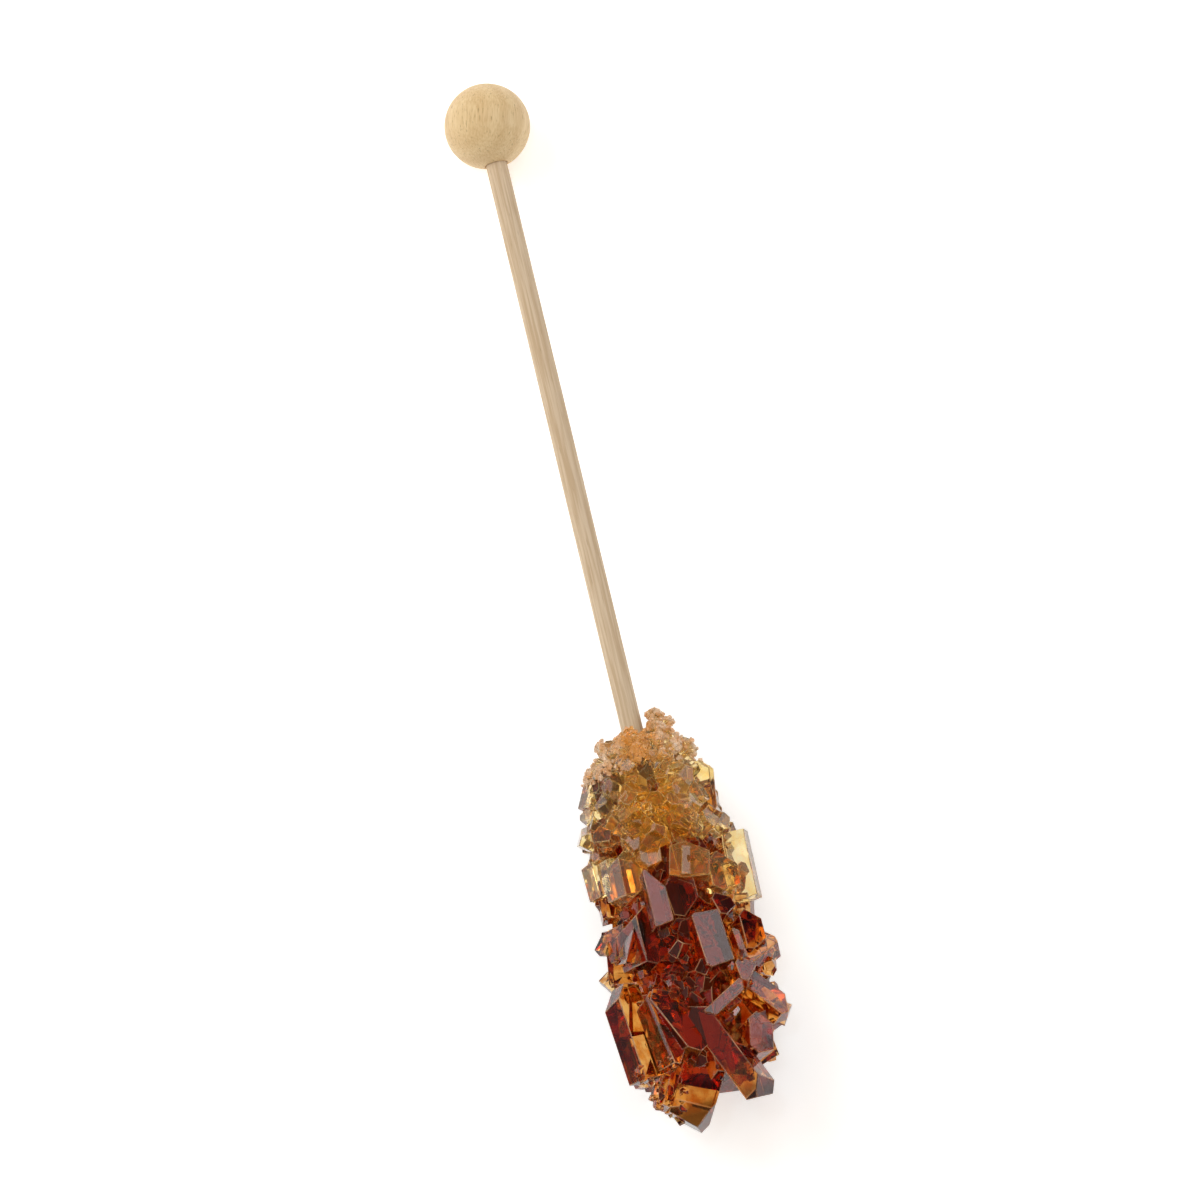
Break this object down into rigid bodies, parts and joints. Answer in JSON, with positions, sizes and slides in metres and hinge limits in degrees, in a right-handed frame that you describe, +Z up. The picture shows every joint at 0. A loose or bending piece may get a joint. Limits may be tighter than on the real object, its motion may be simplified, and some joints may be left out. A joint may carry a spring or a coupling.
{
  "type": "rock candy stick",
  "caption": "Uneven lump of amber sugar crystals grown round one end of a thin wooden dowel, with a turned wooden ball on the dowel's other end; lies on its back.",
  "frame": {"origin": "middle of the whole stick's box, at the level of the surface it lies on", "axes": "+Y along the stick from the candy's tip to the ball, +Z up out of the candy's front, +X to the right of the front"},
  "size_m": [0.0254, 0.1524, 0.0204],
  "materials": {
    "sugar": "clear amber sugar crystals, glossy facets, granular at the top",
    "dowel_wood": "bare birch, fine lengthwise grain",
    "ball_wood": "bare turned wood, matt"
  },
  "bodies": {
    "root": {"candy": "sugar", "stick": "dowel_wood", "ball": "ball_wood"}
  },
  "joints": []
}
